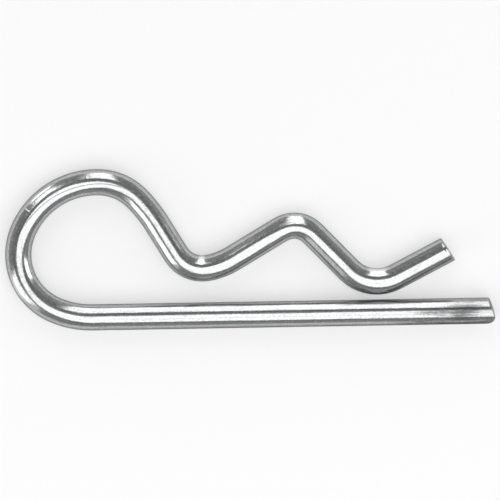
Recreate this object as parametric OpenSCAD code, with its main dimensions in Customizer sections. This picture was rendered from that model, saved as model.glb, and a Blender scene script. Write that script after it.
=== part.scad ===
// An R clip: one piece of round spring wire, cut to length and bent flat.
//
// It lies on its side. The straight leg runs along +X to its tip, the wavy leg is on its +Y side,
// and the eye that joins them is at the -X end. The middle of the box round it is over X = 0 and
// Y = 0, and it rests on Z = 0. Lengths are in millimetres and angles in degrees.
//
// The wire is followed from the root of the straight leg, left round the eye, and back along the
// wavy leg: down to a first trough, over the hump that grips the shaft, down to a second trough
// just off the leg, and up the tail that leads the shaft in.

/* [Wire] */

// Thickness of the round wire
wire_d = 4; // [3:0.1:4.4]

/* [Straight leg] */

// Length from the root of the eye to the tip
leg_l = 61.5; // [55:0.1:75]

/* [Eye] */

// Bend radius of the wire's middle where the leg eases into the eye
ease_r = 13.7; // [12:0.1:16]
// How far that bend turns
ease_turn = 25.1; // [20:0.1:30]
// Bend radius of the nose, the far end of the eye
nose_r = 9.2; // [8.5:0.1:10]
// How far the nose turns
nose_turn = 90; // [86:0.1:94]
// Bend radius of the crown, the top of the eye
crown_r = 12.3; // [11.5:0.1:13]
// How far the crown turns
crown_turn = 68.23; // [68:0.01:74]
// Bend radius of the shoulder, where the wire comes off the mandrel
shoulder_r = 8.3; // [7:0.1:9.5]
// How far the shoulder turns
shoulder_turn = 42.82; // [38:0.01:44]
// Bend radius of the slight curve that runs out of the eye
run_out_r = 22.6; // [18:0.1:26]

/* [Wavy leg] */

// Slope down from the eye to the first trough
fall_1 = 59.09; // [58:0.01:62]
// Slope up to the hump
climb = 30.26; // [28:0.01:33]
// Slope down to the second trough
fall_2 = 46.24; // [43:0.01:49]
// Slope of the tail
tail_slope = 26.95; // [20:0.01:35]
// Bend radius at the bottom of the first trough
trough_1_r = 4.6; // [4.2:0.1:5]
// How far that bend turns before it eases off
trough_1_turn = 67.58; // [64:0.01:72]
// Bend radius where the first trough eases into the climb
trough_1_ease_r = 11; // [9:0.5:13]
// Bend radius of the hump
hump_r = 3.8; // [3.4:0.1:4.4]
// Bend radius of the second trough
trough_2_r = 5.9; // [5:0.1:6.5]
// Gap between the straight leg and the first trough
trough_1_gap = 3.15; // [2.5:0.05:4]
// Gap between the straight leg and the underside of the hump
seat_gap = 9.5; // [9:0.1:11]
// Gap between the straight leg and the second trough
trough_2_gap = 0.7; // [0.5:0.1:1.2]
// Length of the tail
tail_l = 9.2; // [6:0.1:12]

/* [Cut ends] */

// Angle of the leg's cut away from square, seen from above
tip_slant = 18; // [0:1:25]
// Angle by which the leg's cut leans back from the upper side
tip_lean = 5; // [0:1:10]
// Radius of the corner that the cutter rolled over
tip_round = 1.15; // [0.5:0.05:1.5]
// Angle of the tail's cut away from square, seen from above
tail_slant = 5; // [0:1:10]
// Angle by which the tail's cut leans back from the upper side
tail_lean = 4; // [0:1:10]

/* [Hidden] */

wire_r = wire_d / 2;
facets = 48;

// What each half of a bend runs past the middle, so that the two halves overlap there.
overrun = 1.2;

// The run-out takes what is left of the turn from the leg to the slope off the eye.
run_out_turn = 180 + fall_1 - ease_turn - nose_turn - crown_turn - shoulder_turn;
trough_1_ease_turn = fall_1 + climb - trough_1_turn;

// Heights of the wire's middle above the middle of the straight leg.
trough_1_y = wire_d + trough_1_gap;
hump_y = wire_d + seat_gap;
trough_2_y = wire_d + trough_2_gap;

// Where a right-hand bend of radius r takes the wire, from one heading to another.
function right_bend(r, from, to) = r * [sin(from) - sin(to), cos(to) - cos(from)];

// The wire's heading after each bend of the eye; it leaves the leg at 180.
after_ease = 180 - ease_turn;
after_nose = after_ease - nose_turn;
after_crown = after_nose - crown_turn;
after_shoulder = after_crown - shoulder_turn;

nose_start = right_bend(ease_r, 180, after_ease);
crown_start = nose_start + right_bend(nose_r, after_ease, after_nose);
eye_end = crown_start + right_bend(crown_r, after_nose, after_crown)
    + right_bend(shoulder_r, after_crown, after_shoulder)
    + right_bend(run_out_r, after_shoulder, -fall_1);

// What is left for the straights between the bends, from the heights.
fall_1_l = (eye_end.y - trough_1_y - trough_1_r * (1 - cos(fall_1))) / sin(fall_1);
ease_start = trough_1_turn - fall_1;
climb_start_y = trough_1_y + trough_1_r * (1 - cos(ease_start))
    + trough_1_ease_r * (cos(ease_start) - cos(climb));
climb_l = (hump_y - hump_r * (1 - cos(climb)) - climb_start_y) / sin(climb);
fall_2_l = (hump_y - trough_2_y - (hump_r + trough_2_r) * (1 - cos(fall_2))) / sin(fall_2);

// The wire after the straight leg: a bend is [radius, turn], with a turn to the right as plus,
// and a straight is [length, 0].
wire_path = [
    [ease_r, ease_turn],
    [nose_r, nose_turn],
    [crown_r, crown_turn],
    [shoulder_r, shoulder_turn],
    [run_out_r, run_out_turn],
    [fall_1_l, 0],
    [trough_1_r, -trough_1_turn],
    [trough_1_ease_r, -trough_1_ease_turn],
    [climb_l, 0],
    [hump_r, climb + fall_2],
    [fall_2_l, 0],
    [trough_2_r, -fall_2 - tail_slope]
];

// The box round the clip, from the root of the straight leg.
nose_x = nose_start.x + nose_r * (sin(after_ease) - 1) - wire_r;
crown_y = crown_start.y + crown_r * (1 - cos(after_nose)) + wire_r;
middle = [(nose_x + leg_l) / 2, (crown_y - wire_r) / 2];

// A straight stretch of wire, which runs on along -X.
module straight(length) {
    rotate([0, -90, 0])
        cylinder(r = wire_r, h = length, $fn = facets);
}

// Part of a bend, from the joint at the origin: onward along -X, or back along +X.
module bend_part(radius, side, sweep, way) {
    joint = -90 * side;
    translate([0, side * radius, 0])
        rotate_extrude(angle = sweep, start = side * way > 0 ? joint - sweep : joint, $fn = facets)
            translate([radius, 0])
                circle(r = wire_r);
}

// Moves what follows to the far end of a bend or a straight, facing the new way.
module onward(step) {
    centre = sign(step[1]) * step[0];
    if (step[1] == 0)
        translate([-step[0], 0, 0])
            children();
    else
        translate([0, centre, 0])
            rotate([0, 0, -step[1]])
                translate([0, -centre, 0])
                    children();
}

// The wire from one step of the path to its end. Each bend is laid from both of its ends, so
// that its end faces sit exactly on its neighbours'.
module wire_from(i) {
    if (i == len(wire_path)) {
        tail();
    } else {
        step = wire_path[i];
        side = sign(step[1]);
        half = abs(step[1]) / 2 + overrun;
        if (side == 0)
            straight(step[0]);
        else
            bend_part(step[0], side, half, 1);
        onward(step) {
            if (side != 0)
                bend_part(step[0], side, half, -1);
            wire_from(i + 1);
        }
    }
}

// A block that cuts off everything past a plane square to +X.
module cutter() {
    block = 6 * wire_d;
    translate([0, -block / 2, -block / 2])
        cube(block);
}

// The last stretch, cut off a little out of square.
module tail() {
    difference() {
        straight(tail_l + wire_r);
        translate([-tail_l, 0, 0])
            rotate([0, tail_lean, tail_slant])
                mirror([1, 0, 0])
                    cutter();
    }
}

// The straight leg. Its cut slants away on the side of the wavy leg, and the corner where the
// cutter came in is rolled over.
module straight_leg() {
    corner = wire_r - tip_round;
    difference() {
        rotate([0, 90, 0])
            cylinder(r = wire_r, h = leg_l, $fn = facets);
        translate([leg_l, 0, -wire_r])
            rotate([0, -tip_lean, tip_slant])
                cutter();
        difference() {
            translate([leg_l - tip_round, -corner - 2 * tip_round, -wire_d])
                cube([2 * tip_round, 2 * tip_round, 2 * wire_d]);
            translate([leg_l - tip_round, -corner, -2 * wire_d])
                cylinder(r = tip_round, h = 4 * wire_d, $fn = facets);
        }
    }
}

module r_clip() {
    color([0.74, 0.75, 0.76])
        translate([-middle.x, -middle.y, wire_r]) {
            straight_leg();
            wire_from(0);
        }
}

r_clip();
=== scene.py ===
import math

import bpy
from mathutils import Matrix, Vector


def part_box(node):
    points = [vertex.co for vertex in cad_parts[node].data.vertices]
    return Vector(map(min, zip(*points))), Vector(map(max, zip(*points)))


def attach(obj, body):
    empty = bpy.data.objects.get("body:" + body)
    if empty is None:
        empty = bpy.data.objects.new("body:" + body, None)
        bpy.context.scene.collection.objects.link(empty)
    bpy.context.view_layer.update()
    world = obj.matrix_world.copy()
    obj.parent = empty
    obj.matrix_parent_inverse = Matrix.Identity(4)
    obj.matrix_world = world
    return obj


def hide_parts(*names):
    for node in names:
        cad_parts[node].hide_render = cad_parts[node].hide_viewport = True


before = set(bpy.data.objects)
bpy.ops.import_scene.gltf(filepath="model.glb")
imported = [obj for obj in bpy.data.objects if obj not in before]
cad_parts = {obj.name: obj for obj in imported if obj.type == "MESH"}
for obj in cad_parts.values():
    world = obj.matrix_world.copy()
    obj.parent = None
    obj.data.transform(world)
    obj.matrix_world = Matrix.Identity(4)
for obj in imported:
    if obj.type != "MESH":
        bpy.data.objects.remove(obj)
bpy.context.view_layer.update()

bl_info = {
    "name": "Bent wire R clip",
    "version": (1, 0, 0),
    "blender": (4, 5, 0),
    "location": "View3D > Sidebar > R Clip",
    "description": "Makes an R clip of bright plated spring wire, and a plain stage to show it on",
    "category": "Add Mesh",
}

# The part in model.glb gives the wire's thickness and the tip of the straight leg.
CLIP_LOW, CLIP_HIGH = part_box("r_clip")
WIRE_RADIUS = (CLIP_HIGH.z - CLIP_LOW.z) / 2
LEG_TIP = Vector((CLIP_HIGH.x, CLIP_LOW.y + WIRE_RADIUS, CLIP_LOW.z + WIRE_RADIUS))

MM = 0.001


def mm(value):
    """A length in millimetres, in metres."""
    return value * MM


def degrees(value):
    """An angle in degrees, in radians."""
    return math.radians(value)


# Node trees

# How far apart the nodes of a tree are laid out, from left to right and downwards.
NODE_SPACING = (200, 180)


class Term:
    """A socket of a node tree, so that sums on it can be written in plain Python."""

    def __init__(self, maker, socket):
        self.maker = maker
        self.socket = socket

    def __add__(self, other):
        return self.maker.maths("ADD", self, other)

    __radd__ = __add__

    def __sub__(self, other):
        return self.maker.maths("SUBTRACT", self, other)

    def __rsub__(self, other):
        return self.maker.maths("SUBTRACT", other, self)

    def __mul__(self, other):
        return self.maker.maths("MULTIPLY", self, other)

    __rmul__ = __mul__

    def __truediv__(self, other):
        return self.maker.maths("DIVIDE", self, other)

    def __pow__(self, other):
        return self.maker.maths("POWER", self, other)

    def __neg__(self):
        return self.maker.maths("MULTIPLY", self, -1.0)


class Maker:
    """Adds nodes to one tree."""

    def __init__(self, tree):
        self.tree = tree

    def node(self, kind, settings=None, sockets=None):
        """Adds a node. Its settings are set first, and then the values or links of its sockets."""
        made = self.tree.nodes.new(kind)
        for name, value in (settings or {}).items():
            setattr(made, name, value)
        for name, value in (sockets or {}).items():
            self.feed(find_socket(made.inputs, name), value)
        return made

    def get(self, kind, settings=None, sockets=None, output=0):
        """Adds a node, and gives one of its outputs as a term."""
        made = self.node(kind, settings, sockets)
        return Term(self, find_socket(made.outputs, output))

    def feed(self, socket, value):
        """Links a term to a socket, or sets the socket's own value."""
        if isinstance(value, Term):
            self.tree.links.new(value.socket, socket)
        else:
            socket.default_value = value

    def maths(self, operation, *values):
        """One step of a sum on numbers."""
        return self.get("ShaderNodeMath", {"operation": operation}, dict(enumerate(values)))

    def vector_maths(self, operation, *values, output=0):
        """One step of a sum on vectors."""
        sockets = dict(enumerate(values))
        return self.get("ShaderNodeVectorMath", {"operation": operation}, sockets, output)

    def vector(self, x, y, z):
        """A vector from three numbers."""
        return self.get("ShaderNodeCombineXYZ", None, {"X": x, "Y": y, "Z": z})

    def parts(self, vector):
        """The three numbers of a vector."""
        made = self.node("ShaderNodeSeparateXYZ", None, {0: vector})
        return [Term(self, socket) for socket in made.outputs]

    def ramp(self, value, low, high, start=0.0, end=1.0, smooth=False):
        """Runs from start to end while the value runs from low to high, and stays there."""
        settings = {"interpolation_type": "SMOOTHSTEP" if smooth else "LINEAR"}
        span = {"From Min": low, "From Max": high, "To Min": start, "To Max": end}
        return self.get("ShaderNodeMapRange", settings, {"Value": value, **span})

    def mixed(self, share, first, second):
        """The first colour, with a share of the second in it."""
        sockets = {"Factor": share, "A": first, "B": second}
        return self.get("ShaderNodeMix", {"data_type": "RGBA"}, sockets, "Result")

    def most(self, a, b):
        """The larger of two numbers."""
        return self.maths("MAXIMUM", a, b)

    def limit(self, value, low, high):
        """The value, held between low and high."""
        return self.maths("MINIMUM", self.most(value, low), high)

    def how_far(self, spot, along, place, radius):
        """How far off a spot on the wire each point is, with 1 at the spot's edge."""
        at, round_at, half_length, half_angle = spot
        off_along = (along - mm(at)) / mm(half_length)
        way = (0.0, math.cos(degrees(round_at)), math.sin(degrees(round_at)))
        towards = self.vector_maths("DOT_PRODUCT", place, way, output="Value") / radius
        return off_along ** 2 + (1 - towards) / (1 - math.cos(degrees(half_angle)))


def find_socket(sockets, name):
    """A socket by its place, or by its name among those that the node's settings leave open."""
    if isinstance(name, int):
        return sockets[name]
    for socket in sockets:
        if socket.name == name and socket.enabled:
            return socket
    raise KeyError(f"no socket is named {name!r}")


def arrange(tree):
    """Lays the nodes out from left to right, each past the nodes that feed it."""
    feeds = {}
    for link in tree.links:
        feeds.setdefault(link.to_node.name, []).append(link.from_node.name)
    column = {}
    for node in tree.nodes:
        pending = [node.name]
        while pending:
            name = pending[-1]
            waiting = [f for f in feeds.get(name, []) if f not in column]
            if name in column:
                pending.pop()
            elif waiting:
                pending.extend(waiting)
            else:
                column[name] = 1 + max([column[f] for f in feeds.get(name, [])], default=-1)
                pending.pop()
    used = {}
    for node in tree.nodes:
        place = column[node.name]
        used[place] = used.get(place, 0) + 1
        node.location = (place * NODE_SPACING[0], -used[place] * NODE_SPACING[1])


# Sizes and colours


def length_setting(name, description, value):
    """A length that a user can change, in millimetres here."""
    return bpy.props.FloatProperty(
        name=name,
        description=description,
        default=mm(value),
        min=0.0,
        subtype="DISTANCE",
        unit="LENGTH",
        precision=5,
    )


def angle_setting(name, description, value, lowest=0.0):
    """An angle that a user can change, in degrees here."""
    return bpy.props.FloatProperty(
        name=name,
        description=description,
        default=degrees(value),
        min=degrees(lowest),
        max=math.pi,
        subtype="ANGLE",
    )


def share_setting(name, description, value):
    """A share from 0 to 1 that a user can change."""
    return bpy.props.FloatProperty(
        name=name, description=description, default=value, min=0.0, max=1.0, subtype="FACTOR"
    )


def colour_setting(name, description, value):
    """A colour that a user can change."""
    return bpy.props.FloatVectorProperty(
        name=name, description=description, default=value, size=3, min=0.0, max=1.0, subtype="COLOR"
    )


class ClipSizes(bpy.types.PropertyGroup):
    """The bends and straights of the wire, followed from the tip of the straight leg."""

    wire_radius: length_setting("Wire radius", "Half the wire's thickness", WIRE_RADIUS / MM)
    leg_length: length_setting("Leg length", "Straight leg, from its tip to the eye", 61.5)
    ease_radius: length_setting("Ease radius", "Bend where the leg eases into the eye", 13.7)
    ease_turn: angle_setting("Ease turn", "How far that bend turns", 25.1)
    nose_radius: length_setting("Nose radius", "Bend at the far end of the eye", 9.2)
    nose_turn: angle_setting("Nose turn", "How far the nose turns", 90.0)
    crown_radius: length_setting("Crown radius", "Bend at the top of the eye", 12.3)
    crown_turn: angle_setting("Crown turn", "How far the crown turns", 68.23)
    shoulder_radius: length_setting("Shoulder radius", "Bend past the crown", 8.3)
    shoulder_turn: angle_setting("Shoulder turn", "How far the shoulder turns", 42.82)
    run_out_radius: length_setting("Run-out radius", "Slight curve out of the eye", 22.6)
    first_fall: angle_setting("First fall", "Slope down from the eye to the first trough", 59.09)
    climb: angle_setting("Climb", "Slope up to the hump", 30.26)
    second_fall: angle_setting("Second fall", "Slope down to the second trough", 46.24)
    tail_slope: angle_setting("Tail slope", "Slope of the tail", 26.95)
    first_trough_radius: length_setting("First trough radius", "Bend at its bottom", 4.6)
    first_trough_turn: angle_setting("First trough turn", "Turn before it eases off", 67.58)
    first_trough_ease_radius: length_setting("First trough ease radius", "Bend past it", 11.0)
    hump_radius: length_setting("Hump radius", "Bend of the hump", 3.8)
    second_trough_radius: length_setting("Second trough radius", "Bend of the second trough", 5.9)
    first_trough_gap: length_setting("First trough gap", "Gap over the straight leg there", 3.15)
    seat_gap: length_setting("Seat gap", "Gap from the straight leg up to the hump", 9.5)
    second_trough_gap: length_setting("Second trough gap", "Gap over the straight leg there", 0.7)
    tail_length: length_setting("Tail length", "Straight end that leads the shaft in", 9.2)
    tip_slant: angle_setting("Tip slant", "Slant of the leg's cut, seen from above", 18.0)
    tip_lean: angle_setting("Tip lean", "Lean of the leg's cut from the upper side", 5.0)
    tip_round: length_setting("Tip round", "Corner that the cutter rolled over", 1.15)
    tail_slant: angle_setting("Tail slant", "Slant of the tail's cut, seen from above", 5.0)
    tail_lean: angle_setting("Tail lean", "Lean of the tail's cut from the upper side", 4.0)
    edge_round: length_setting("Edge round", "Rounding of the leg's cut", 0.2)
    tail_edge_round: length_setting("Tail edge round", "Rounding of the tail's cut", 0.18)
    ripple: length_setting("Ripple", "Height of the drawn wire's slow ripple", 0.006)


class ClipFinish(bpy.types.PropertyGroup):
    """The bright plating, what handling has done to it, and the painted shade and highlights on it.
    """

    plate_colour: colour_setting("Plate colour", "Bright zinc plate", (0.462, 0.467, 0.472))
    # Also the colour of the painted shade on the near flanks of the leg and the tip.
    stain_and_shade_colour: colour_setting("Dull colour", "Stained or dulled plate", (0.11, 0.11, 0.112))
    # Also the colour of the painted highlights at the troughs.
    rubbed_and_highlight_colour: colour_setting("Rubbed colour", "Plate rubbed bright", (0.86, 0.865, 0.87))
    cut_colour: colour_setting("Cut colour", "Plate on the sheared ends", (0.085, 0.085, 0.087))
    cut_shine: share_setting("Cut shine", "How metallic the rough sheared ends look", 0.15)
    edge_tint: colour_setting("Edge tint", "Reflection at a glancing angle", (0.3, 0.3, 0.3))
    polish: share_setting("Plate roughness", "Roughness of the clean plate", 0.15)
    cut_roughness: share_setting("Cut roughness", "Roughness of the sheared ends", 0.42)


class StageSettings(bpy.types.PropertyGroup):
    """The floor, the lamps and the camera."""

    floor_colour: colour_setting("Floor colour", "Pale floor", (0.88, 0.88, 0.88))
    floor_glow: share_setting("Floor glow", "How far the floor is lifted to white", 0.45)
    surround_low: share_setting("Room near the floor", "Grey level of the room there", 0.45)
    surround_high: share_setting("Room overhead", "Grey level of the room there", 0.26)
    camera_height: length_setting("Camera height", "Height of the camera over the floor", 600.0)
    frame_width: length_setting("Frame width", "Width seen at the wire's middle", 76.34)
    camera_turn: angle_setting("Camera turn", "Turn about the line of sight", -0.988, -180.0)


# The wire's path


def first_bends(sizes):
    """The eye as (radius, turn to the right) pairs, from the leg to the slope off the eye."""
    turned = sizes.ease_turn + sizes.nose_turn + sizes.crown_turn + sizes.shoulder_turn
    return [
        (sizes.ease_radius, sizes.ease_turn),
        (sizes.nose_radius, sizes.nose_turn),
        (sizes.crown_radius, sizes.crown_turn),
        (sizes.shoulder_radius, sizes.shoulder_turn),
        (sizes.run_out_radius, math.pi + sizes.first_fall - turned),
    ]


def eye_height(sizes):
    """Height of the wire's middle over the leg's, where it comes off the eye."""
    heading = math.pi
    height = 0.0
    for radius, turn in first_bends(sizes):
        height += radius * (math.cos(heading - turn) - math.cos(heading))
        heading -= turn
    return height


def wire_steps(sizes):
    """The whole wire from the leg's tip, as (name, length, turn to the right) steps."""
    thickness = 2 * sizes.wire_radius
    first_low = thickness + sizes.first_trough_gap
    top = thickness + sizes.seat_gap
    second_low = thickness + sizes.second_trough_gap

    # What is left for the straights, from the heights and the slopes.
    first_drop = sizes.first_trough_radius * (1 - math.cos(sizes.first_fall))
    first_fall = (eye_height(sizes) - first_low - first_drop) / math.sin(sizes.first_fall)
    past_low = sizes.first_trough_turn - sizes.first_fall
    first_rise = sizes.first_trough_radius * (1 - math.cos(past_low))
    ease_rise = sizes.first_trough_ease_radius * (math.cos(past_low) - math.cos(sizes.climb))
    climb_start = first_low + first_rise + ease_rise
    hump_rise = sizes.hump_radius * (1 - math.cos(sizes.climb))
    climb = (top - hump_rise - climb_start) / math.sin(sizes.climb)
    both_radii = sizes.hump_radius + sizes.second_trough_radius
    bends_drop = both_radii * (1 - math.cos(sizes.second_fall))
    second_fall = (top - second_low - bends_drop) / math.sin(sizes.second_fall)

    trough_turn = sizes.first_trough_turn
    ease_turn = sizes.first_fall + sizes.climb - trough_turn
    hump_turn = sizes.climb + sizes.second_fall
    last_turn = sizes.second_fall + sizes.tail_slope
    names = ("Ease", "Nose", "Crown", "Shoulder", "Run-out")
    eye = [(name, radius * turn, turn) for name, (radius, turn) in zip(names, first_bends(sizes))]
    return [
        ("Leg", sizes.leg_length, 0.0),
        *eye,
        ("First fall", first_fall, 0.0),
        ("First trough", sizes.first_trough_radius * trough_turn, -trough_turn),
        ("First trough ease", sizes.first_trough_ease_radius * ease_turn, -ease_turn),
        ("Climb", climb, 0.0),
        ("Hump", sizes.hump_radius * hump_turn, hump_turn),
        ("Second fall", second_fall, 0.0),
        ("Second trough", sizes.second_trough_radius * last_turn, -last_turn),
        ("Tail", sizes.tail_length, 0.0),
    ]


# Steps along the wire, rows on each cut face, and columns round the wire.
ROWS = 780
CAP_ROWS = 12
COLUMNS = 96

# How many times the wire's heading is evened out between one bend and the next.
EVENING = 10

# How far a cut's slant reaches along the wire, and how soft the creases of the leg's cut are, both
# as shares of the wire's radius.
CUT_REACH = 1.6
CREASE = 0.08

# How closely the slow ripple follows itself along the wire and across it.
RIPPLE_SCALE = (260.0, 420.0, 420.0)

# Where the cut faces end and the plated side begins, as shares of the wire's radius, and how much
# of the sheared look the tail's cut has.
CUT_EDGE = (0.94, 0.99)
TAIL_SHEAR = 0.15

# Points of the skin closer together than this are made one.
WELD = mm(0.0005)

# Dents that bending and handling left: place along the wire and round it, half-lengths, and depth,
# which is below zero for a swell. Lengths are in millimetres and angles in degrees. The angle is 0
# on the left of the way from the leg's tip, and 90 on the upper side.
DENTS = [
    ("Bender nick", 106.6, 160.0, 0.7, 16.0, 0.07),
    ("Leg step", 58.6, 10.0, 0.8, 30.0, 0.04),
    ("First trough press mark", 117.9, 40.0, 1.2, 30.0, 0.04),
    ("Hump press mark", 133.2, 57.0, 2.4, 33.0, 0.24),
    ("Second trough's swell", 149.4, 45.0, 2.2, 36.0, -0.1),
]


def bent_wire_tree(steps):
    """The geometry tree that lays rows of points round the path and closes them to a solid wire."""
    tree = bpy.data.node_groups.new("Bent wire", "GeometryNodeTree")
    tree.is_modifier = True
    face = tree.interface
    face.new_socket(name="Geometry", in_out="OUTPUT", socket_type="NodeSocketGeometry")

    def number(name, value, subtype="NONE", kind="NodeSocketFloat"):
        """Gives the tree an input that takes a number."""
        socket = face.new_socket(name=name, in_out="INPUT", socket_type=kind)
        if subtype != "NONE":
            socket.subtype = subtype
        socket.default_value = value

    number("Rows", ROWS, kind="NodeSocketInt")
    number("Cap Rows", CAP_ROWS, kind="NodeSocketInt")
    number("Columns", COLUMNS, kind="NodeSocketInt")
    number("Radius", mm(2.0), "DISTANCE")
    for name, length, turn in steps:
        number(f"{name} Length", length, "DISTANCE")
        if turn:
            number(f"{name} Turn", turn, "ANGLE")
    for name in ("Tip Slant", "Tip Lean", "Tail Slant", "Tail Lean"):
        number(name, 0.0, "ANGLE")
    for name in ("Tip Round", "Edge Round", "Tail Edge Round", "Ripple"):
        number(name, mm(0.1), "DISTANCE")
    face.new_socket(name="Start", in_out="INPUT", socket_type="NodeSocketVector")
    face.new_socket(name="Material", in_out="INPUT", socket_type="NodeSocketMaterial")

    m = Maker(tree)
    group_in = m.node("NodeGroupInput")
    given = {socket.name: Term(m, socket) for socket in group_in.outputs if socket.name}
    rows, cap_rows, columns = given["Rows"], given["Cap Rows"], given["Columns"]
    radius = given["Radius"]

    # Where each bend of the path starts and ends.
    bends = []
    so_far = None
    for name, length, turn in steps:
        start = so_far
        so_far = given[f"{name} Length"] if start is None else start + given[f"{name} Length"]
        if turn:
            bends.append((start, so_far, given[f"{name} Turn"]))
    pace = so_far / rows

    def heading_at(along):
        """The way that the wire runs there. Wire never changes its bend all at once."""
        heading = None
        for start, end, turn in bends:
            part = m.ramp(along, start, end, 0.0, turn)
            heading = math.pi - part if heading is None else heading - part
        sockets = {"Value": heading, "Iterations": EVENING}
        return m.get("GeometryNodeBlurAttribute", {"data_type": "FLOAT"}, sockets)

    # The spine: the path's short steps added up, each taken at its own middle.
    index = m.get("GeometryNodeInputIndex")
    step_heading = heading_at((index + 0.5) * pace)
    step_x = m.maths("COSINE", step_heading) * pace
    step_y = m.maths("SINE", step_heading) * pace
    sockets = {"Value": m.vector(step_x, step_y, 0.0)}
    kind = {"data_type": "FLOAT_VECTOR"}
    walked = m.get("GeometryNodeAccumulateField", kind, sockets, "Trailing")
    line = m.get("GeometryNodeMeshLine", None, {"Count": rows + 1})
    place = m.vector_maths("ADD", walked, given["Start"])
    spine = m.get("GeometryNodeSetPosition", None, {"Geometry": line, "Position": place})

    # The sheet of rows and columns that becomes the skin.
    sheet_rows = rows + 2 * cap_rows + 1
    counts = {"Vertices X": sheet_rows, "Vertices Y": columns + 1}
    sheet = m.get("GeometryNodeMeshGrid", None, counts)
    row = m.maths("FLOOR", (index + 0.5) / (columns + 1))
    column = index - row * (columns + 1)
    on_spine = m.limit(row - cap_rows, 0.0, rows)
    angle = column / columns * math.tau
    tip_part = m.limit(row / cap_rows, 0.0, 1.0)
    tail_part = m.limit((sheet_rows - 1 - row) / cap_rows, 0.0, 1.0)
    spread = (1 - (1 - tip_part) ** 2) * (1 - (1 - tail_part) ** 2)
    side = radius * spread * m.maths("COSINE", angle)
    up = radius * spread * m.maths("SINE", angle)
    along = on_spine * pace

    def on_the_spine(value, kind):
        """A value of the spine, where each point of the sheet belongs to it."""
        sockets = {"Geometry": spine, "Value": value, "Index": on_spine}
        return m.get("GeometryNodeSampleIndex", {"data_type": kind}, sockets)

    middle = on_the_spine(m.get("GeometryNodeInputPosition"), "FLOAT_VECTOR")
    heading = on_the_spine(heading_at(index * pace), "FLOAT")

    def rolled(out, depth):
        """How far back an edge of that depth is rolled, at a point that far out from the middle."""
        past = m.limit((out - radius + depth) / depth, 0.0, 1.0)
        return depth * (1 - m.maths("SQRT", 1 - past ** 2))

    # The slanted cuts, as how far back each point of an end face lies.
    tip_slope = m.maths("TANGENT", given["Tip Slant"])
    tip_fall = m.maths("TANGENT", given["Tip Lean"]) / m.maths("COSINE", given["Tip Slant"])
    tip_plane = (up + radius) * tip_fall - side * tip_slope
    crease = radius * CREASE
    tip_back = m.maths("SMOOTH_MAX", tip_plane, rolled(side, given["Tip Round"]), crease)
    tip_back = m.maths("SMOOTH_MAX", tip_back, 0.0, crease)
    tail_slope = m.maths("TANGENT", given["Tail Slant"])
    tail_fall = m.maths("TANGENT", given["Tail Lean"]) / m.maths("COSINE", given["Tail Slant"])
    tail_back = side * tail_slope + up * tail_fall

    # The rounded edge of each cut, and the share of both that reaches along the wire.
    tip_back = tip_back + rolled(spread * radius, given["Edge Round"])
    tail_back = tail_back + rolled(spread * radius, given["Tail Edge Round"])
    near_tip = m.ramp(along, 0.0, CUT_REACH * radius, 1.0, 0.0)
    near_tail = m.ramp(so_far - along, 0.0, CUT_REACH * radius, 1.0, 0.0)
    shift = tip_back * near_tip - tail_back * near_tail

    # Slow ripple of the drawn wire, and the dents.
    unbent = m.vector(along + shift, side, up)
    stretched = m.vector_maths("MULTIPLY", unbent, RIPPLE_SCALE)
    sockets = {"Vector": stretched, "Scale": 1.0, "Detail": 1.0}
    wander = m.get("ShaderNodeTexNoise", None, sockets, "Fac")
    lift = (wander - 0.5) * 2 * given["Ripple"]
    for name, *spot, depth in DENTS:
        dent = m.maths("EXPONENT", -m.how_far(spot, along, unbent, radius))
        lift = lift - dent * mm(depth)
    swell = 1 + lift / radius

    # Each point goes out from the spine, square to the way that the wire runs.
    ahead_x = m.maths("COSINE", heading)
    ahead_y = m.maths("SINE", heading)
    out = side * swell
    offset = m.vector(ahead_x * shift - ahead_y * out, ahead_y * shift + ahead_x * out, up * swell)
    place = m.vector_maths("ADD", middle, offset)
    skin = m.get("GeometryNodeSetPosition", None, {"Geometry": sheet, "Position": place})

    def store(geometry, name, value, kind):
        """Keeps a value on the points, under a name."""
        settings = {"data_type": kind, "domain": "POINT"}
        sockets = {"Geometry": geometry, "Name": name, "Value": value}
        return m.get("GeometryNodeStoreNamedAttribute", settings, sockets)

    # What the finish needs to know: the place on the unbent wire, and where the cut faces are.
    skin = store(skin, "unbent", unbent, "FLOAT_VECTOR")
    sheared = (1 - m.ramp(spread, *CUT_EDGE)) * m.ramp(along, 0.0, so_far, 1.0, TAIL_SHEAR)
    skin = store(skin, "cut_face", sheared, "FLOAT")
    skin = m.get("GeometryNodeMergeByDistance", None, {"Geometry": skin, "Distance": WELD})
    # The sheet's faces look inwards once it is rolled up, so they are turned round.
    skin = m.get("GeometryNodeFlipFaces", None, {"Mesh": skin})
    skin = m.get("GeometryNodeSetShadeSmooth", None, {"Geometry": skin, "Shade Smooth": True})
    skin = m.get("GeometryNodeRealizeInstances", None, {"Geometry": skin})
    skin = m.get("GeometryNodeSetMaterial", None, {"Geometry": skin, "Material": given["Material"]})
    m.node("NodeGroupOutput", None, {0: skin})
    arrange(tree)
    return tree


# Patterns in the plate: how closely each follows itself along the wire and across it, and its
# detail and roughness.
PATTERNS = {
    "fine draw lines": (90.0, 5200.0, 1.0, 0.5),
    "broad draw lines": (40.0, 1500.0, 2.0, 0.5),
    "streaks": (240.0, 4800.0, 3.0, 0.65),
    "pits": (1900.0, 2600.0, 1.0, 0.5),
    "slow unevenness": (380.0, 900.0, 2.0, 0.5),
    "clouds": (260.0, 900.0, 3.0, 0.6),
    "mottling": (1300.0, 2600.0, 3.0, 0.7),
    "scratches": (330.0, 9000.0, 2.0, 0.6),
    "zinc grains": (2900.0, 3900.0, 2.0, 0.6),
}

# How high the patterns stand: the slow unevenness, the draw lines and the pits. Fine draw lines are
# lower than broad ones, by a share.
UNEVEN_HEIGHT = mm(0.012)
LINE_HEIGHT = mm(0.006)
FINE_LINE_SHARE = 0.4
PIT_DEPTH = mm(0.006)

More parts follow.
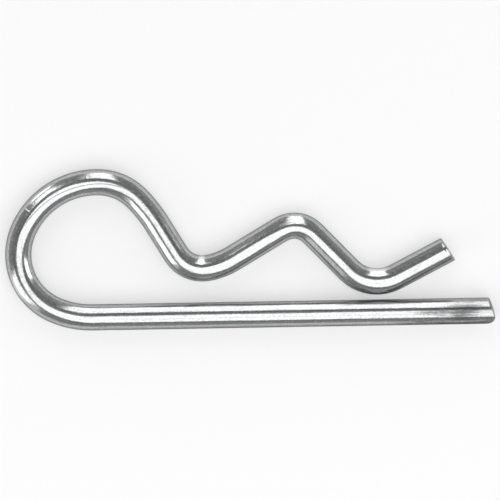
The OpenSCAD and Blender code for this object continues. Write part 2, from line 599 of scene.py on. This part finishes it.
# The levels of its pattern between which a pit or a bright fleck comes up, how much a pit dulls
# the plate and how much a fleck brightens it.
PIT_LEVELS = (0.66, 0.8)
PIT_DULLNESS = 0.35
FLECK_LEVELS = (0.5, 0.7)
FLECK_BRIGHTNESS = 0.42

# How much each pattern moves the edges of patches, dulls the plate all over and roughens it.
RAGGED_SHARES = {"streaks": 3.2, "scratches": 2.0, "mottling": 1.6}
DULL_SHARES = {"mottling": -0.7, "scratches": -0.9, "clouds": 0.4}
ROUGH_SHARES = {"clouds": 0.12, "fine draw lines": 0.08}

# How dull the plate is all over: on average, and at most. Dull plate is rougher, by a share.
MEAN_DULLNESS = 0.042
MOST_DULLNESS = 0.5
DULL_ROUGHNESS = 0.12

# The lowest and the highest roughness that the plate takes on.
ROUGHNESS_LIMITS = (0.08, 0.6)

# Where a dull patch, a patch of painted shade, a rubbed patch and a score fade out, with 1 at the
# edge or the end. Rubbed patches are less ragged than dull ones, by a share.
STAIN_AND_SHADE_FADE = (-0.2, 1.8)
RUBBED_FADE = (0.0, 1.4)
SCORE_FADE = (0.6, 1.0)
RUBBED_RAGGED = 0.5

# Dull patches on the plate, and painted shade on the near flank of the tip and the leg: place along
# the wire and round it, half-lengths, and strength.
STAINS_AND_PAINTED_SHADE = [
    ("Tip haze", 1.2, 90.0, 2.4, 24.0, 0.4),
    ("Tip stain", 5.0, 90.0, 3.0, 38.0, 1.0),
    ("Tip stain's tail", 8.0, 86.0, 4.2, 17.0, 0.85),
    ("Tip's second haze", 3.4, 121.0, 4.4, 11.0, 0.42),
    ("Tip side stain", 3.6, 140.0, 4.0, 12.0, 0.45),
    # Painted shade: this entry and the next darken the near flank of the tip and of the leg, where
    # the plate reflects the pale floor.
    ("Painted shade on the tip's near side", 4.0, 20.0, 12.0, 30.0, 0.95),
    ("Painted shade on the leg's near side", 32.0, 20.0, 34.0, 18.0, 0.4),
    ("Smoky lens", 17.5, 137.0, 6.0, 13.0, 0.7),
    ("Faint film", 33.0, 143.0, 8.0, 9.0, 0.35),
]

# Long fine scores on the upper side: place along the wire, how far to the left of its middle line,
# half-length, how much further left it runs at its ends, and strength. What is sideways, the
# scores' width and the height at which they reach full strength are shares of the wire's radius.
SCORES = [
    ("Die line of the leg", 34.0, 0.18, 27.0, 0.0, 0.3),
    ("Mandrel line of the crown", 91.7, -0.2, 10.0, 0.27, 0.75),
]
SCORE_WIDTH = 0.045
SCORE_HEIGHT = 0.1

# Patches that the bending tools rubbed brighter, as above. The two at the troughs are also painted
# highlights.
RUBBED_AND_PAINTED_HIGHLIGHTS = [
    ("Nose's outer patch", 73.4, 36.0, 2.0, 14.0, 0.6),
    # Painted highlight: the two trough patches lift the plate towards white where the bright spots
    # of the troughs lie.
    ("First trough's inner patch", 117.9, 30.0, 0.8, 42.0, 1.0),
    ("Second trough's inner patch", 149.6, 26.0, 2.3, 38.0, 1.0),
]

# Fine ridges across the wire where tools let go of it: as above, with a height, which is below
# zero for a groove.
TOOL_MARKS = [
    ("Left mark of the crown", 84.7, 60.0, 0.12, 17.0, 0.016),
    ("First tick of the crown", 94.6, 66.0, 0.1, 9.0, 0.005),
    ("Second tick of the crown", 95.2, 64.0, 0.1, 8.0, 0.004),
    ("Crush line of the tail's cut", 161.05, 82.0, 0.13, 42.0, -0.04),
    ("Mark before the first trough", 116.2, 100.0, 0.12, 24.0, 0.006),
    ("Mark past the hump", 136.9, 66.0, 0.12, 16.0, 0.01),
]


def plated_wire_material(finish):
    """Bright zinc plate over drawn wire, with draw lines, pits, a few dull patches, painted shade
    on the near flank of the leg and the tip, and rubbed patches that paint highlights at the
    troughs.
    """
    material = bpy.data.materials.new("Plated wire")
    material.use_nodes = True
    material.node_tree.nodes.clear()
    m = Maker(material.node_tree)
    place = m.get("ShaderNodeAttribute", {"attribute_name": "unbent"}, None, "Vector")
    cut = m.get("ShaderNodeAttribute", {"attribute_name": "cut_face"}, None, "Fac")
    along, side, up = m.parts(place)

    def pattern(name):
        """One of the patterns in the plate, as levels from 0 to 1."""
        lengthways, across, detail, roughness = PATTERNS[name]
        spread = m.vector_maths("MULTIPLY", place, (lengthways, across, across))
        sockets = {"Vector": spread, "Scale": 1.0, "Detail": detail, "Roughness": roughness}
        return m.get("ShaderNodeTexNoise", None, sockets, "Fac")

    levels = {name: pattern(name) for name in PATTERNS}

    def mixture(shares):
        """Patterns added up by their shares, each counted from its mean."""
        total = 0.0
        for name, share in shares.items():
            total = total + (levels[name] - 0.5) * share
        return total

    # Small pits, and bright flecks where grains of the zinc catch the light.
    pits = m.ramp(levels["pits"], *PIT_LEVELS, smooth=True)
    flecks = m.ramp(levels["zinc grains"], *FLECK_LEVELS, 0.0, FLECK_BRIGHTNESS, smooth=True)

    # Dull patches, and painted shade on the near flanks, ragged along the streaks and patchy
    # within.
    ragged = mixture(RAGGED_SHARES)
    dull = m.limit(mixture(DULL_SHARES) + MEAN_DULLNESS, 0.0, MOST_DULLNESS)
    # The near-flank entries of this table add painted shade to the mask here.
    for name, *spot, strength in STAINS_AND_PAINTED_SHADE:
        far = m.how_far(spot, along, place, WIRE_RADIUS) + ragged
        dull = m.most(dull, m.ramp(far, *STAIN_AND_SHADE_FADE, strength, 0.0))
    dull = m.most(dull, pits * PIT_DULLNESS)

    # The scores, which are on the upper side alone and fade out towards their ends.
    upper = m.ramp(up, 0.0, WIRE_RADIUS * SCORE_HEIGHT)
    for name, at, off_middle, half_length, bow, strength in SCORES:
        part = (along - mm(at)) / mm(half_length)
        off_line = (side / WIRE_RADIUS - off_middle - part ** 2 * bow) / SCORE_WIDTH
        line = m.maths("EXPONENT", -(off_line ** 2))
        fade = m.ramp(part ** 2, *SCORE_FADE, strength, 0.0)
        dull = m.most(dull, line * fade * upper)

    # Patches rubbed bright, with the painted highlights at the troughs, and the heights of the tool
    # marks.
    rubbed = 0.0
    for name, *spot, strength in RUBBED_AND_PAINTED_HIGHLIGHTS:
        far = m.how_far(spot, along, place, WIRE_RADIUS) + ragged * RUBBED_RAGGED
        rubbed = m.most(rubbed, m.ramp(far, *RUBBED_FADE, strength, 0.0, smooth=True))
    tool_marks = 0.0
    for name, *spot, height in TOOL_MARKS:
        ridge = m.maths("EXPONENT", -m.how_far(spot, along, place, WIRE_RADIUS))
        tool_marks = tool_marks + ridge * mm(height)

    colour = m.mixed(flecks, (*finish.plate_colour, 1.0), (*finish.rubbed_and_highlight_colour, 1.0))
    # Painted shade: the near-flank entries mix this dark colour into the plate.
    colour = m.mixed(dull, colour, (*finish.stain_and_shade_colour, 1.0))
    # Painted highlight: the trough patches lift the plate towards white at their bright spots.
    colour = m.mixed(rubbed, colour, (*finish.rubbed_and_highlight_colour, 1.0))
    rough = finish.polish + mixture(ROUGH_SHARES) + dull * DULL_ROUGHNESS

    # Heights, each in its own bump over the one before. The tool marks are in metres already.
    bumps = [
        (levels["slow unevenness"], UNEVEN_HEIGHT),
        (levels["fine draw lines"] * FINE_LINE_SHARE + levels["broad draw lines"], LINE_HEIGHT),
        (1 - pits, PIT_DEPTH),
        (tool_marks, 1.0),
    ]
    under = {}
    for height, scale in bumps:
        normal = m.get("ShaderNodeBump", None, {"Distance": scale, "Height": height, **under})
        under = {"Normal": normal}

    plate = {
        "Base Color": colour,
        "Metallic": 1.0,
        "Roughness": m.limit(rough, *ROUGHNESS_LIMITS),
        "Specular Tint": (*finish.edge_tint, 1.0),
        "Normal": normal,
    }
    bare = {
        "Base Color": (*finish.cut_colour, 1.0),
        "Metallic": finish.cut_shine,
        "Roughness": finish.cut_roughness,
        "Specular IOR Level": 0.1,
        "Normal": normal,
    }
    plated = m.get("ShaderNodeBsdfPrincipled", None, plate)
    sheared = m.get("ShaderNodeBsdfPrincipled", None, bare)
    shown = m.get("ShaderNodeMixShader", None, {0: cut, 1: plated, 2: sheared})
    m.node("ShaderNodeOutputMaterial", None, {"Surface": shown})
    arrange(material.node_tree)
    return material


# The colour of the floor's glow and of the room's light.
WHITE = (1.0, 1.0, 1.0, 1.0)

# The floor's fine grain: how closely it follows itself, and its darkest level as a share of the
# floor's colour.
FLOOR_GRAIN_SCALE = 900.0
FLOOR_GRAIN = 0.985

# The room: the height, on the way up to 1, from which it is as grey as overhead, how closely the
# things in it follow each other, and how much they dim or brighten it.
OVERHEAD = 0.75
ROOM_SCALE = 5.0
ROOM_LEVELS = (0.3, 0.7)
ROOM_SHARES = (0.7, 1.3)


def floor_material(stage):
    """A pale floor, lifted towards white where the camera, a reflection or glass shows it."""
    material = bpy.data.materials.new("Pale floor")
    material.use_nodes = True
    material.node_tree.nodes.clear()
    m = Maker(material.node_tree)
    place = m.get("ShaderNodeTexCoord", None, None, "Object")
    sockets = {"Vector": place, "Scale": FLOOR_GRAIN_SCALE, "Detail": 2.0}
    grain = m.get("ShaderNodeTexNoise", None, sockets, "Fac")
    shade = [channel * FLOOR_GRAIN for channel in stage.floor_colour]
    colour = m.mixed(grain, (*shade, 1.0), (*stage.floor_colour, 1.0))
    matt = {"Base Color": colour, "Roughness": 0.8, "Specular IOR Level": 0.0}
    paper = m.get("ShaderNodeBsdfPrincipled", None, matt)
    glow = m.get("ShaderNodeEmission", None, {"Color": WHITE, "Strength": 1.0})
    rays = m.node("ShaderNodeLightPath")
    seen = 0.0
    for name in ("Is Camera Ray", "Is Glossy Ray", "Is Transmission Ray"):
        seen = m.most(seen, Term(m, rays.outputs[name]))
    shown = m.get("ShaderNodeMixShader", None, {0: seen * stage.floor_glow, 1: paper, 2: glow})
    m.node("ShaderNodeOutputMaterial", None, {"Surface": shown})
    arrange(material.node_tree)
    return material


def room_world(stage):
    """The room round the lamps: dim overhead, lighter towards the horizon, and a little uneven."""
    world = bpy.data.worlds.new("Room")
    world.use_nodes = True
    world.node_tree.nodes.clear()
    m = Maker(world.node_tree)
    way = m.get("ShaderNodeTexCoord", None, None, "Generated")
    height = m.parts(way)[2]
    sockets = {"Vector": way, "Scale": ROOM_SCALE, "Detail": 2.0}
    things = m.get("ShaderNodeTexNoise", None, sockets, "Fac")
    level = m.ramp(height, 0.0, OVERHEAD, stage.surround_low, stage.surround_high)
    level = level * m.ramp(things, *ROOM_LEVELS, *ROOM_SHARES)
    background = m.get("ShaderNodeBackground", None, {"Color": WHITE, "Strength": level})
    m.node("ShaderNodeOutputWorld", None, {"Surface": background})
    arrange(world.node_tree)
    return world


# Making the objects


class RCLIP_OT_wire(bpy.types.Operator):
    """Makes the clip's bent wire"""

    bl_idname = "rclip.wire"
    bl_label = "Bent wire"

    def execute(self, context):
        sizes = context.scene.clip_sizes
        steps = wire_steps(sizes)
        if min(length for name, length, turn in steps) <= 0:
            raise ValueError("a straight of the wire has no length left: the bends are too big")
        material = plated_wire_material(context.scene.clip_finish)
        tree = bent_wire_tree(steps)
        source = bpy.data.objects.new("wire_source", bpy.data.meshes.new("wire_source"))
        context.scene.collection.objects.link(source)
        modifier = source.modifiers.new("Bent wire", "NODES")
        modifier.node_group = tree
        values = {
            "Rows": ROWS,
            "Cap Rows": CAP_ROWS,
            "Columns": COLUMNS,
            "Radius": sizes.wire_radius,
            "Tip Slant": sizes.tip_slant,
            "Tip Lean": sizes.tip_lean,
            "Tip Round": sizes.tip_round,
            "Tail Slant": sizes.tail_slant,
            "Tail Lean": sizes.tail_lean,
            "Edge Round": sizes.edge_round,
            "Tail Edge Round": sizes.tail_edge_round,
            "Ripple": sizes.ripple,
            "Start": LEG_TIP,
            "Material": material,
        }
        for name, length, turn in steps:
            values[f"{name} Length"] = length
            if turn:
                values[f"{name} Turn"] = turn
        for socket in tree.interface.items_tree:
            if socket.in_out == "INPUT":
                modifier[socket.identifier] = values[socket.name]
        graph = context.evaluated_depsgraph_get()
        mesh = bpy.data.meshes.new_from_object(source.evaluated_get(graph))
        bpy.data.objects.remove(source)
        mesh.name = "bent_wire"
        piece = bpy.data.objects.new("bent_wire", mesh)
        context.scene.collection.objects.link(piece)
        if not piece.data.polygons:
            raise RuntimeError("the wire came out empty")
        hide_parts("r_clip")
        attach(piece, "root")
        return {"FINISHED"}


# The soft oblong lamps of the studio: bearing from +X, angle from straight up, spans of both,
# distance and how bright each looks, where 1 is white. Distances are in metres.
LAMPS = [
    ("Wall lamp", 87.9, 63.0, 21.5, 52.0, 2.0, 1.95),
    ("Right lamp", 17.0, 71.0, 25.0, 42.0, 0.5, 2.1),
    ("Left lamp, high", 132.0, 48.0, 16.0, 28.0, 0.5, 2.6),
    ("Left lamp, low", 132.0, 81.0, 16.0, 20.0, 0.5, 2.4),
    ("Near left lamp", 208.0, 70.0, 27.0, 46.0, 0.5, 2.1),
    ("Near left lamp's edge", 225.5, 72.0, 8.0, 42.0, 0.5, 0.5),
]

# The oval main lamp overhead: its middle, its width and depth, its turn and how bright it looks.
MAIN_LAMP = ((0.21, -0.36, 0.6), (1.07, 0.82), -31.0, 1.95)

# Half the width of the square floor.
FLOOR_HALF = 2.5

# Where the camera stands, left to right and near to far, and its film's width in millimetres.
CAMERA_PLACE = (mm(0.086), mm(-0.428))
FILM_WIDTH = 36.0


def add_lamp(scene, name, shape, place, size, shine):
    """An area lamp that faces down, for its caller to turn."""
    data = bpy.data.lights.new(name, "AREA")
    data.shape = shape
    data.size, data.size_y = size
    # The power at which a lamp of this size and shape looks that bright.
    fill = math.pi / 4 if shape == "ELLIPSE" else 1.0
    data.energy = math.pi * fill * size[0] * size[1] * shine
    lamp = bpy.data.objects.new(name, data)
    lamp.location = place
    lamp.visible_camera = False
    scene.collection.objects.link(lamp)
    return lamp


class RCLIP_OT_stage(bpy.types.Operator):
    """Makes the floor, the lamps and the camera"""

    bl_idname = "rclip.stage"
    bl_label = "Stage"

    def execute(self, context):
        scene = context.scene
        stage = scene.clip_stage
        mesh = bpy.data.meshes.new("floor")
        ways = ((-1, -1), (1, -1), (1, 1), (-1, 1))
        corners = [(x * FLOOR_HALF, y * FLOOR_HALF, 0.0) for x, y in ways]
        mesh.from_pydata(corners, [], [(0, 1, 2, 3)])
        mesh.materials.append(floor_material(stage))
        floor = bpy.data.objects.new("floor", mesh)
        scene.collection.objects.link(floor)

        for name, bearing, tilt, wide, tall, distance, shine in LAMPS:
            bearing, tilt = degrees(bearing), degrees(tilt)
            out = math.sin(tilt)
            way = Vector((out * math.cos(bearing), out * math.sin(bearing), math.cos(tilt)))
            width = 2 * distance * math.tan(degrees(wide) / 2) * out
            height = 2 * distance * math.tan(degrees(tall) / 2)
            lamp = add_lamp(scene, name, "RECTANGLE", way * distance, (width, height), shine)
            lamp.rotation_euler = (tilt, 0.0, bearing + math.pi / 2)
        place, size, turn, shine = MAIN_LAMP
        lamp = add_lamp(scene, "Main lamp", "ELLIPSE", place, size, shine)
        lamp.rotation_euler = (0.0, 0.0, degrees(turn))

        scene.world = room_world(stage)

        camera_data = bpy.data.cameras.new("Camera")
        camera_data.sensor_width = FILM_WIDTH
        reach = stage.camera_height - WIRE_RADIUS
        camera_data.lens = FILM_WIDTH * reach / stage.frame_width
        camera_data.clip_start = 0.01
        camera_data.clip_end = 10.0
        camera = bpy.data.objects.new("Camera", camera_data)
        camera.location = (*CAMERA_PLACE, stage.camera_height)
        camera.rotation_euler = (0.0, 0.0, stage.camera_turn)
        scene.collection.objects.link(camera)
        scene.camera = camera
        scene.view_settings.view_transform = "Standard"
        return {"FINISHED"}


class RCLIP_PT_panel(bpy.types.Panel):
    """Lists the clip's sizes, its finish and its stage"""

    bl_label = "R Clip"
    bl_idname = "RCLIP_PT_panel"
    bl_space_type = "VIEW_3D"
    bl_region_type = "UI"
    bl_category = "R Clip"

    def draw(self, context):
        scene = context.scene
        groups = {
            "Wire": scene.clip_sizes,
            "Finish": scene.clip_finish,
            "Stage": scene.clip_stage,
        }
        for title, group in groups.items():
            box = self.layout.box()
            box.label(text=title)
            for name in group.__class__.__annotations__:
                box.prop(group, name)
        self.layout.operator("rclip.wire")
        self.layout.operator("rclip.stage")


CLASSES = (ClipSizes, ClipFinish, StageSettings, RCLIP_OT_wire, RCLIP_OT_stage, RCLIP_PT_panel)


def register():
    """Makes the classes and the settings known."""
    for cls in CLASSES:
        bpy.utils.register_class(cls)
    bpy.types.Scene.clip_sizes = bpy.props.PointerProperty(type=ClipSizes)
    bpy.types.Scene.clip_finish = bpy.props.PointerProperty(type=ClipFinish)
    bpy.types.Scene.clip_stage = bpy.props.PointerProperty(type=StageSettings)


def unregister():
    """Takes them away again."""
    del bpy.types.Scene.clip_stage
    del bpy.types.Scene.clip_finish
    del bpy.types.Scene.clip_sizes
    for cls in reversed(CLASSES):
        bpy.utils.unregister_class(cls)


def main():
    """Makes the clip on its stage."""
    register()
    bpy.ops.rclip.wire()
    bpy.ops.rclip.stage()


if __name__ == "__main__":
    main()
